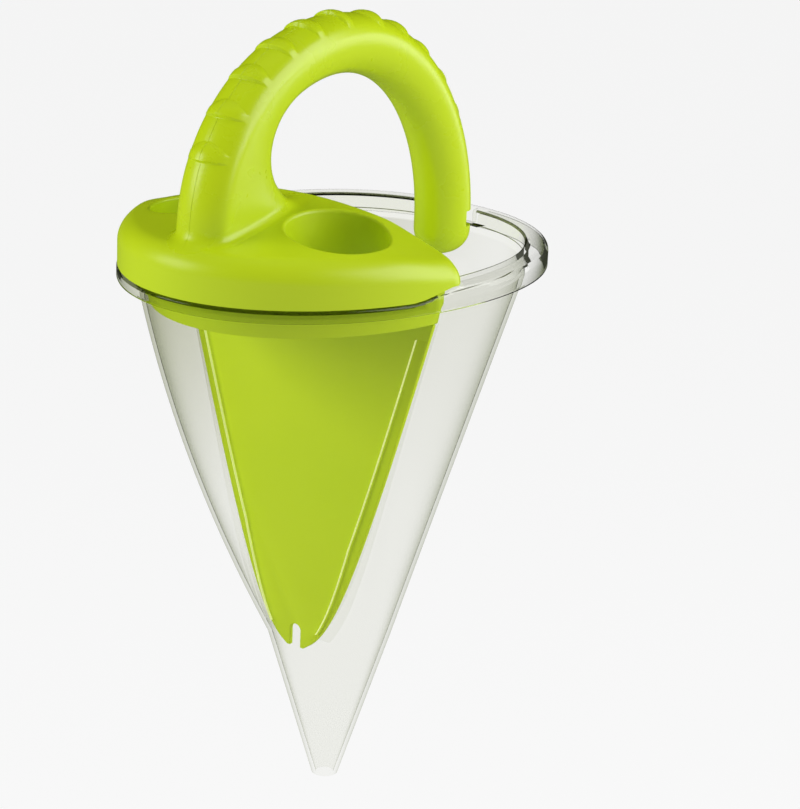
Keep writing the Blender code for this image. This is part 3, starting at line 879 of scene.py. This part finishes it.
def stations():
    """Where rings go, as (distance, pad): close at the foot and on each pad, even elsewhere."""
    places = [SPINE_LENGTH * step / EVEN_STEPS for step in range(EVEN_STEPS + 1)]
    places = [s for s in places if s > FOOT_STEP * FOOT_STEPS]
    places += [FOOT_STEP * step for step in range(FOOT_STEPS)]
    for pad in PADS:
        places = [s for s in places if abs(s - pad) > PAD_ROOM]
    places = [s for s in places if s < SPINE_LENGTH - END_ROUND]
    for turn in quarter_turns(END_STEPS):
        places.append(SPINE_LENGTH - END_ROUND * (1.0 - sin(turn)))
    rings = [(s, None) for s in places]
    for pad in PADS:
        rings += [(pad + uphill(pad) * PAD_HALF_LENGTH * share, pad) for share in PAD_RINGS]
    return sorted(rings, key=lambda ring: ring[0])


shells = {}
for name, side in (("handle_shell_front", -1), ("handle_shell_rear", 1)):
    shells[name] = add_piece(name, [([shell_ring(s, pad, side) for s, pad in stations()], False)])
print("handle rings:", len(stations()))

# %% [markdown]
# ## Seating the handle
# The shells are trimmed to the dome a hair below its surface, so that the fillet ends on the lid with no
# gap. The free end is trimmed to the rim: a ledge rests on it, a notch clears its lip and a tongue reaches
# down inside.

# %% Trim the shells
TONGUE_GAP = 0.0005
TRIM_BELOW = 0.0005
UNDER_LID = -0.0200
PAST_RIM = 0.0800


def lid_trim():
    """The lid's outline filled up to a hair below its dome."""
    size = (FLANGE_WATER, FLANGE_HALF_WIDTH, LID_EDGE_X + FIT, LID_CORNER)
    rings = [lid_ring(size, 0.0, lambda x, y: UNDER_LID)]
    return rings + dome_rings(size, TRIM_BELOW, EDGE_ROUND)


def rim_trim():
    """A ring of room for the rim's seat, from the cone's inside outwards."""
    low = FREE_LEG_END - END_ROUND
    seat = LID_SEAT + FIT
    inside = [wall_ring(z, WALL + TONGUE_GAP) for z in (low, 0.0, seat)]
    return inside + [ring_at(lambda a: flange_radius(a) + PAST_RIM, lambda a: z) for z in (seat, low)]


def lip_notch(front=0.0700, back=0.1000, half_width=0.0300):
    """A block of room for the raised lip."""
    corners = ((front, -half_width), (back, -half_width), (back, half_width), (front, half_width))
    return [[(x, y, z) for x, y in corners] for z in (POCKET_FLOOR, LIP_HEIGHT + FIT)]


trims = (("lip_notch", lip_notch(), False), ("lid_trim", lid_trim(), False), ("rim_trim", rim_trim(), True))
for shell in shells.values():
    for name, rings, tube in trims:
        combine(shell, add_piece(name, [(rings, tube)]), "DIFFERENCE")
    finish_surface(shell, 40.0)

# %% [markdown]
# ## The dividing plate
# A flat plate hangs from the lid's straight edge down to the spout. Its sides follow the cone's inside, and
# an arch at its foot lets water through to the sand. It could be a box cut to shape, but an outline walked
# once round leaves clean edges to soften.

# %% Plate outline
PLATE_TOP = 0.0060
PLATE_FOOT_HALF_WIDTH = 0.0042
ARCH_HALF_WIDTH = 0.0026
ARCH_HEIGHT = 0.0100
TONGUE_INSET = 0.0080


def tongue_half_width():
    """Half width of the plate's top, which stands behind the straight wall inside the lid."""
    size = skirt_size(-SKIRT_DEPTH, SKIRT_GAP + LID_WALL, LID_EDGE_X - LID_WALL)
    face = PLATE_X + PLATE_THICKNESS / 2
    _, angle = halve(lambda a: LID_CENTRE_X + lid_reach(a, *size) * cos(a) <= face, 0.0, pi / 2)
    return lid_reach(angle, *size) * sin(angle) - TONGUE_INSET


def plate_outline(steps=48, arch_steps=24):
    """Down one side, round the arch at the foot and up the other side, as (y, z) pairs."""
    shoulder = -SKIRT_DEPTH - PLATE_GAP
    _, foot = halve(lambda z: plate_half_width(z) > PLATE_FOOT_HALF_WIDTH, -OUTLET_DEPTH, 0.0)
    edge = [(tongue_half_width(), PLATE_TOP), (tongue_half_width(), shoulder)]
    for turn in quarter_turns(steps):
        z = shoulder + (foot - shoulder) * sin(turn)
        edge.append((plate_half_width(z), z))
    arch = [(ARCH_HALF_WIDTH, foot)]
    for step in range(arch_steps + 1):
        turn = pi * step / arch_steps
        arch.append((ARCH_HALF_WIDTH * cos(turn), foot + ARCH_HEIGHT + ARCH_HALF_WIDTH * (sin(turn) - 1.0)))
    arch.append((-ARCH_HALF_WIDTH, foot))
    return edge + arch + [(-y, z) for y, z in reversed(edge)]


print("points round the plate:", len(plate_outline()))

# %% Plate with softened edges
PLATE_SOFTENING = 0.0004

faces_x = (PLATE_X - PLATE_THICKNESS / 2, PLATE_X + PLATE_THICKNESS / 2)
outline = plate_outline()
dividing_plate = add_piece("dividing_plate", [([[(x, y, z) for y, z in outline] for x in faces_x], False)])
soften = dividing_plate.modifiers.new("soften", "BEVEL")
soften.width = PLATE_SOFTENING
soften.segments = 3
soften.limit_method = "ANGLE"
soften.angle_limit = radians(50.0)
take_on_modifiers(dividing_plate)
finish_surface(dividing_plate)

# %% [markdown]
# ## Shader sums
# A finish is easier to read as a sum than as a web of nodes. This class wraps a socket, and its operators
# add Math nodes, also when the number comes first. Any other node comes from its `add` method, which takes
# settings first and sockets next, and then says which of the node's outputs to go on with.

# %% Socket class


class Wire:
    """A socket in a material's node tree."""

    def __init__(self, tree, socket=None):
        self.tree = tree
        self.socket = socket

    def add(self, kind, settings=None, sockets=None, output=0):
        node = self.tree.nodes.new("ShaderNode" + kind)
        for name, value in (settings or {}).items():
            setattr(node, name, value)
        for name, value in (sockets or {}).items():
            self.join(value, node.inputs[name])
        return Wire(self.tree, node.outputs[output])

    def join(self, value, target):
        if isinstance(value, Wire):
            self.tree.links.new(value.socket, target)
        else:
            target.default_value = value

    def maths(self, operation, first, second):
        return self.add("Math", {"operation": operation}, {0: first, 1: second})

    def __add__(self, other):
        return self.maths("ADD", self, other)

    def __rsub__(self, other):
        return self.maths("SUBTRACT", other, self)

    def __mul__(self, other):
        return self.maths("MULTIPLY", self, other)

    __radd__ = __add__
    __rmul__ = __mul__

    def mix(self, first, second):
        """Colour between two colours by this value."""
        return self.add("Mix", {"data_type": "RGBA"}, {0: self, 6: first, 7: second}, 2)


# %% A material to wire up


def new_finish(name, constants):
    """A material with its fixed numbers set on the shader, and a Wire to build the rest."""
    material = bpy.data.materials.new(name)
    material.use_nodes = True
    shader = material.node_tree.nodes["Principled BSDF"]
    for socket, value in constants.items():
        shader.inputs[socket].default_value = value
    return material, shader, Wire(material.node_tree)


def soft_range(wire, value, start, end, low=0.0, high=1.0):
    """Eases from low to high as a value goes from start to end."""
    sockets = {"Value": value, "From Min": start, "From Max": end, "To Min": low, "To Max": high}
    return wire.add("MapRange", {"interpolation_type": "SMOOTHSTEP"}, sockets)


def cloud(wire, scale, detail=3.0, stretch=(1.0, 1.0, 1.0)):
    """Soft noise in metres: scale is the number of blotches in a metre."""
    place = wire.add("TexCoord", output="Object")
    place = wire.add("VectorMath", {"operation": "MULTIPLY"}, {0: place, 1: stretch})
    return wire.add("TexNoise", {}, {"Vector": place, "Scale": scale, "Detail": detail})


# %% [markdown]
# ## Lime green plastic
# The insert is satin polypropylene. Its colour drifts very slightly where the melt flowed, its gloss is
# uneven in patches, and a fine orange-peel grain breaks up the highlights. Pictures of plastic would need
# unwrapped meshes, and noise measured in metres does not.

# %% Lime finish


def lime_plastic(name, colour, roughness, grain):
    material, shader, wire = new_finish(name, {"IOR": 1.49, "Specular IOR Level": 0.5})
    drift = cloud(wire, 14.0)
    warm = (colour[0] * 1.05, colour[1] * 1.01, colour[2], 1.0)
    cool = (colour[0] * 0.95, colour[1] * 0.98, colour[2] * 1.1, 1.0)
    wire.join(drift.mix(cool, warm), shader.inputs["Base Color"])
    patches = cloud(wire, 55.0, 4.0)
    wire.join(patches * 0.10 + (roughness - 0.05), shader.inputs["Roughness"])
    peel = cloud(wire, 700.0, 2.0)
    bump = wire.add("Bump", {}, {"Strength": grain, "Distance": 0.0004, "Height": peel})
    wire.join(bump, shader.inputs["Normal"])
    return material


LIME = (0.475, 0.625, 0.0050)
lid_lime = lime_plastic("lid_lime", LIME, 0.36, 0.05)
handle_lime = lime_plastic("handle_lime", LIME, 0.28, 0.05)
# The plate is painted 7 % lighter than LIME: painted light for what reaches it through the clear cone.
plate_lime_lit = lime_plastic("plate_lime_lit", [1.07 * part for part in LIME], 0.40, 0.06)
print("lime finishes:", lid_lime.name, handle_lime.name, plate_lime_lit.name)

# %% [markdown]
# ## Clear plastic
# The cone is clear polystyrene with a faint grey-green cast. Its tint is painted darker towards the rim and
# towards its shaded side as painted shade, and darker where one looks along the wall, partly for the longer
# path through the plastic and partly as painted dark refraction. The index from a data sheet would blacken
# the edges of such a thin wall, because light that is caught inside needs more bounces than a picture gets.
# So the wall hardly bends light and the rim only a little, enough for the bright lines round it and some of
# the dark ones.
# Light on its way to the plate goes straight through both, because a renderer would otherwise shade the
# inside.

# %% Kinds of light ray


def light_path(wire, kind):
    """1 for a ray of one kind and 0 for others."""
    return wire.add("LightPath", output=kind)


def mirrored(wire):
    """1 for a ray that a gloss has thrown back, but not for one that clear plastic has let through."""
    return light_path(wire, "Is Glossy Ray") * (1.0 - light_path(wire, "Is Transmission Ray"))


# %% Painted shade on clear plastic
SHADE_FOOT = RIM.z - 0.12
SHADE_TOP = RIM.z + 0.02
LIT_SIDE = -0.03
SHADED_SIDE = 0.06


def painted_shade_share(wire):
    """Painted shade: 0 low on the cone, more towards the rim and towards its shaded side."""
    place = wire.add("TexCoord", output="Object")
    z = wire.add("SeparateXYZ", {}, {0: place}, "Z")
    y = wire.add("SeparateXYZ", {}, {0: place}, "Y")
    rising = soft_range(wire, z, SHADE_FOOT, SHADE_TOP)
    shaded = soft_range(wire, y, LIT_SIDE, SHADED_SIDE, 0.12, 1.0)
    return rising * shaded * (0.8 + 0.4 * cloud(wire, 9.0))


def edge_share(wire, start, full):
    """1 where one looks along an upright outer face, 0 where one looks straight at it or at a flat top: the
    mask for a tint that is partly the longer path through the plastic and partly painted dark refraction.
    """
    edge = soft_range(wire, wire.add("LayerWeight", {}, {"Blend": 0.5}, "Facing"), start, full)
    level = wire.add("SeparateXYZ", {}, {0: wire.add("NewGeometry", output="Normal")}, "Z")
    upright = 1.0 - wire.maths("POWER", level * level, 2.5)
    return edge * upright * (1.0 - wire.add("NewGeometry", output="Backfacing"))


# %% Clear finish


def clear_plastic(name, bend, tints, edge, coat):
    """Tints are for a face low on the cone, a face at the rim darkened as painted shade, and where one looks
    along a face, partly path tint and partly painted dark refraction.
    """
    constants = {"IOR": bend, "Transmission Weight": 1.0, "Coat Roughness": 0.03, "Coat IOR": 1.49}
    material, shader, wire = new_finish(name, constants)
    low, high, edge_tint = [(*tint, 1.0) for tint in tints]
    # The rim tint is painted shade; the edge tint is partly the longer path through the plastic, partly
    # painted dark refraction.
    face_tint = painted_shade_share(wire).mix(low, high)
    wire.join(edge_share(wire, *edge).mix(face_tint, edge_tint), shader.inputs["Base Color"])
    wear = cloud(wire, 40.0, 4.0)
    wire.join(wear * 0.03 + 0.005, shader.inputs["Roughness"])
    wire.join(wear * 0.1 + (coat - 0.05), shader.inputs["Coat Weight"])
    flow = cloud(wire, 30.0, 2.0, (1.0, 1.0, 0.15))
    bump = wire.add("Bump", {}, {"Strength": 0.02, "Distance": 0.0010, "Height": flow})
    wire.join(bump, shader.inputs["Normal"])
    passing = light_path(wire, "Is Shadow Ray") + light_path(wire, "Is Diffuse Ray") + mirrored(wire)
    straight = wire.add("BsdfTransparent", {}, {"Color": (0.98, 0.985, 0.97, 1.0)})
    whole = wire.add("MixShader", {}, {0: passing, 1: Wire(wire.tree, shader.outputs[0]), 2: straight})
    wire.join(whole, material.node_tree.nodes["Material Output"].inputs["Surface"])
    return material


# LINE: near-black painted dark lines, for shade in the gap under the lid and dark refraction along the edges.
LINE = (0.04, 0.05, 0.015)
# OLIVE and GREY_GREEN darken where one looks along a face: partly path tint, partly painted dark refraction.
OLIVE = (0.10, 0.12, 0.05)
GREY_GREEN = (0.40, 0.43, 0.30)
CLEAR = (0.947, 0.950, 0.925)
# WALL_SHADE and RIM_SHADE tint the wall and the rim darker as painted shade towards the rim and its shaded
# side.
WALL_SHADE = (0.66, 0.67, 0.56)
RIM_SHADE = (0.94, 0.945, 0.89)
# BAND: painted shade on the rim under the lid, tinted by the lid's lime.
BAND = (0.76, 0.78, 0.66)
RIM_BEND = 1.03
clear_wall = clear_plastic("clear_wall", 1.002, (CLEAR, WALL_SHADE, GREY_GREEN), (0.45, 1.1), 0.06)
clear_rim = clear_plastic("clear_rim", RIM_BEND, (CLEAR, RIM_SHADE, OLIVE), (0.75, 1.1), 0.15)
# The rolled edge is painted darker with OLIVE, as painted dark refraction.
clear_roll = clear_plastic("clear_roll", RIM_BEND, (CLEAR, CLEAR, OLIVE), (0.5, 0.85), 0.4)
# The rim's band under the lid, painted darker as painted shade.
clear_lid_shade = clear_plastic("clear_lid_shade", RIM_BEND, (BAND, BAND, OLIVE), (0.3, 1.1), 0.2)
clear_painted_line = clear_plastic("clear_painted_line", RIM_BEND, (LINE, LINE, LINE), (0.3, 1.1), 0.6)
clear_finishes = (clear_wall, clear_rim, clear_roll, clear_lid_shade, clear_painted_line)
print("clear finishes:", [finish.name for finish in clear_finishes])

# %% [markdown]
# ## Bright rib edges
# The narrow inner edges of the guide ribs show as pale lines, because a clear rib carries light along itself
# and lets it out at its edge, tinted by the plate beside it. Tracing that would take many bounces, so the
# edge gives off a little light of its own.

# %% Bright rib edges


def rib_edge(name, colour):
    """The ribs' narrow inner edges, which gather light from the plate and glow pale."""
    constants = {"Roughness": 0.3, "IOR": 1.49, "Transmission Weight": 0.3, "Emission Strength": 0.45}
    material, shader, wire = new_finish(name, constants)
    streaks = cloud(wire, 60.0, 3.0, (1.0, 1.0, 0.2))
    dim = (*[0.8 * part for part in colour], 1.0)
    glow = streaks.mix(dim, (*colour, 1.0))
    wire.join(glow, shader.inputs["Base Color"])
    wire.join(glow, shader.inputs["Emission Color"])
    return material


clear_edge = rib_edge("clear_edge", (0.85, 0.90, 0.42))
print("rib finish:", clear_edge.name)

# %% [markdown]
# ## Into the frame
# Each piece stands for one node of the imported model, which is then hidden, and moves with that node's body.
# The lid, the handle and the plate are one insert, and the cone pulls off it downwards.

# %% Put pieces in the frame
for piece, node, body, slot, finish in (
    (clear_cone, "funnel", "cone", "clear_plastic", clear_wall),
    (lid_shell, "lid", "insert", "lid_green", lid_lime),
    (shells["handle_shell_front"], "handle_front", "insert", "handle_green", handle_lime),
    (shells["handle_shell_rear"], "handle_rear", "insert", "handle_green", handle_lime),
    (dividing_plate, "divider", "insert", "plate_green", plate_lime_lit),
):
    piece.data.materials.clear()
    piece.data.materials.append(finish)
    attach(piece, body)
    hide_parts(node)
    print(piece.name, "rides on", body)

# %% [markdown]
# ## Finishes on the cone
# One moulding shows several looks: a thin wall, a thick rim whose rolled edge is painted darker as dark
# refraction, fine painted dark lines along its edges for shade in the gap and dark refraction, an olive band
# of painted shade under the lid tinted by its lime, and rib edges that glow. Separate pieces would leave
# seams in clear plastic, so each face of the one skin is given its finish by its place.

# %% Finishes on the cone
BAND_END = -0.0360
INNER_LINE = POCKET_FLOOR - 0.0005
SEAT_LINE_WIDTH = 0.0014
SEAT_LINE_HEIGHT = 0.0012
FACE_SLACK = 0.0002
RIM_START = -0.0003
RIB_STANDS = 0.0006
RIB_EDGE_TURN = 0.85


def rim_finish(angle, inset, z):
    """The rim's finish at a place: painted dark lines on its edges, painted olive shade under the lid, clear
    elsewhere.
    """
    under_lid = flange_radius(angle) * cos(angle) < BAND_END
    # A painted dark line along the rim's inner wall just under the pocket's floor.
    if inset > OVERHANG + WALL - FACE_SLACK and INNER_LINE < z < POCKET_FLOOR:
        return clear_painted_line
    # Under the lid the rim is painted darker: a painted dark line at the seat and painted shade on the band.
    if under_lid:
        seat_line = inset < SEAT_LINE_WIDTH and z > lip_top(angle) - SEAT_LINE_HEIGHT
        return clear_painted_line if seat_line else clear_lid_shade
    if inset < lip_round(angle):
        return clear_roll
    # A painted dark line along the lip's inner edge, outside the pocket.
    lip_edge = inset > OVERHANG + WALL - INNER_ROUND and z > lip_top(angle) - INNER_ROUND
    return clear_painted_line if lip_edge and inside_pocket(angle, WALL) == 0.0 else clear_rim


def cone_finish(face):
    """The finish of one face of the cone."""
    x, y, z = face.center - RIM
    angle = atan2(y, x)
    if z > RIM_START:
        return rim_finish(angle, flange_radius(angle) - hypot(x, y), z)
    on_rib = hypot(x, y) < wall_radius(angle, z, WALL + RIB_STANDS)
    return clear_edge if on_rib and abs(face.normal.y) > RIB_EDGE_TURN else clear_wall


cone_finishes = [clear_wall, clear_rim, clear_roll, clear_edge, clear_lid_shade, clear_painted_line]
for finish in cone_finishes[1:]:
    clear_cone.data.materials.append(finish)
for face in clear_cone.data.polygons:
    face.material_index = cone_finishes.index(cone_finish(face))
used = [face.material_index for face in clear_cone.data.polygons]
print("cone faces by finish:", [used.count(number) for number in range(len(cone_finishes))])

# %% [markdown]
# ## Floor
# A plain pale floor fills the picture. It gives off most of its own light, like a lit sweep, so that it
# stays even and throws a soft glow up at the funnel. Glossy faces see it much dimmer, which keeps the lime
# deep. It lies low enough for the cone to be pulled off downwards without going through it.

# %% Floor
FLOOR_REACH = 12.0
PULL = max(joint["range_m"][1] for joint in frame["joints"])
FLOOR_GAP = 0.0050
FLOOR_Z = cad_box[0][2] - PULL - FLOOR_GAP
FLOOR_IN_GLOSS = (0.06, 0.065, 0.045)


def pale_floor():
    """One large square that fills the picture from any side."""
    mesh = bpy.data.meshes.new("floor")
    signs = ((-1, -1), (1, -1), (1, 1), (-1, 1))
    corners = [(across * FLOOR_REACH, along * FLOOR_REACH, FLOOR_Z) for across, along in signs]
    mesh.from_pydata(corners, [], [(0, 1, 2, 3)])
    floor = bpy.data.objects.new("floor", mesh)
    bpy.context.scene.collection.objects.link(floor)
    constants = {"Base Color": (0.05, 0.05, 0.05, 1.0), "Roughness": 0.9, "Specular IOR Level": 0.0,
                 "Emission Strength": 0.895}
    material, shader, wire = new_finish("pale_floor", constants)
    glow = mirrored(wire).mix((1.0, 1.0, 1.0, 1.0), (*FLOOR_IN_GLOSS, 1.0))
    wire.join(glow, shader.inputs["Emission Color"])
    mesh.materials.append(material)


pale_floor()
print("floor at", round(FLOOR_Z * 1000, 1), "mm")

# %% [markdown]
# ## Light
# Soft boxes stand to the left, to the right and above in a dim grey room. Two of them only fill: they light
# the plastic but stay out of its reflections, so the gloss shows a few clear highlights and no haze.

# %% World and soft boxes
CENTRE = Vector((0.0, 0.0, -0.15))
TO_CAMERA = Vector((-0.795, -0.607, 0.0))
TO_LEFT = Vector((-0.607, 0.795, 0.0))
ROOM_STRENGTH = 0.22


def soft_box(name, forward, left, up, size, strength, in_gloss=True):
    """A square area light that faces the funnel. Strength is its own brightness."""
    lamp = bpy.data.lights.new(name, "AREA")
    lamp.shape = "SQUARE"
    lamp.size = size
    lamp.energy = strength * size * size * pi
    item = bpy.data.objects.new(name, lamp)
    bpy.context.scene.collection.objects.link(item)
    item.location = CENTRE + TO_CAMERA * forward + TO_LEFT * left + Vector((0.0, 0.0, up))
    item.rotation_euler = (CENTRE - item.location).to_track_quat("-Z", "Y").to_euler()
    item.visible_glossy = in_gloss


world = bpy.data.worlds.new("room")
bpy.context.scene.world = world
world.use_nodes = True
room = world.node_tree.nodes["Background"].inputs
room["Color"].default_value = (1.0, 1.0, 1.0, 1.0)
room["Strength"].default_value = ROOM_STRENGTH
world.cycles_visibility.glossy = False
soft_box("left", 0.20, 1.0, 0.50, 0.5, 3.0)
soft_box("left_fill", 0.30, 1.0, 0.40, 0.6, 5.5, False)
soft_box("right", 0.25, -0.95, 0.60, 1.0, 3.7)
soft_box("right_low", -0.35, -1.0, 0.12, 0.5, 2.5)
soft_box("top", -0.2, 0.1, 1.3, 0.9, 1.0, False)
bpy.context.scene.view_settings.view_transform = "Standard"

# %% [markdown]
# ## Camera
# The camera stands where the photograph was taken from, a metre away and a little above the rim.

# %% Camera
LENS_PIXELS = 2616.24
PICTURE_HEIGHT = 809.0
SENSOR = 36.0
DISTANCE = 1.056
AZIMUTH = radians(-52.6274)
ELEVATION = radians(15.0891)
PAN = -1.3875
TILT = -3.1071
ROLL = -2.0


def turned(vector, axis, degrees):
    return Matrix.Rotation(radians(degrees), 3, axis) @ vector


def camera_place():
    """Where the camera stands and how it is turned, as one matrix."""
    flat = cos(ELEVATION)
    backward = Vector((sin(AZIMUTH) * flat, -cos(AZIMUTH) * flat, sin(ELEVATION)))
    look = -backward
    right = Vector((cos(AZIMUTH), sin(AZIMUTH), 0.0))
    upward = right.cross(look)
    right, look = turned(right, upward, PAN), turned(look, upward, PAN)
    look, upward = turned(look, right, TILT), turned(upward, right, TILT)
    right, upward = turned(right, look, ROLL), turned(upward, look, ROLL)
    turn = Matrix((right, upward, -look)).transposed().to_4x4()
    return Matrix.Translation(backward * DISTANCE + RIM) @ turn


lens = bpy.data.cameras.new("camera")
lens.sensor_width = SENSOR
lens.lens = LENS_PIXELS * SENSOR / PICTURE_HEIGHT
lens.clip_start = 0.01
camera = bpy.data.objects.new("camera", lens)
bpy.context.scene.collection.objects.link(camera)
camera.matrix_world = camera_place()
bpy.context.scene.camera = camera
print("lens:", round(lens.lens, 2), "mm")
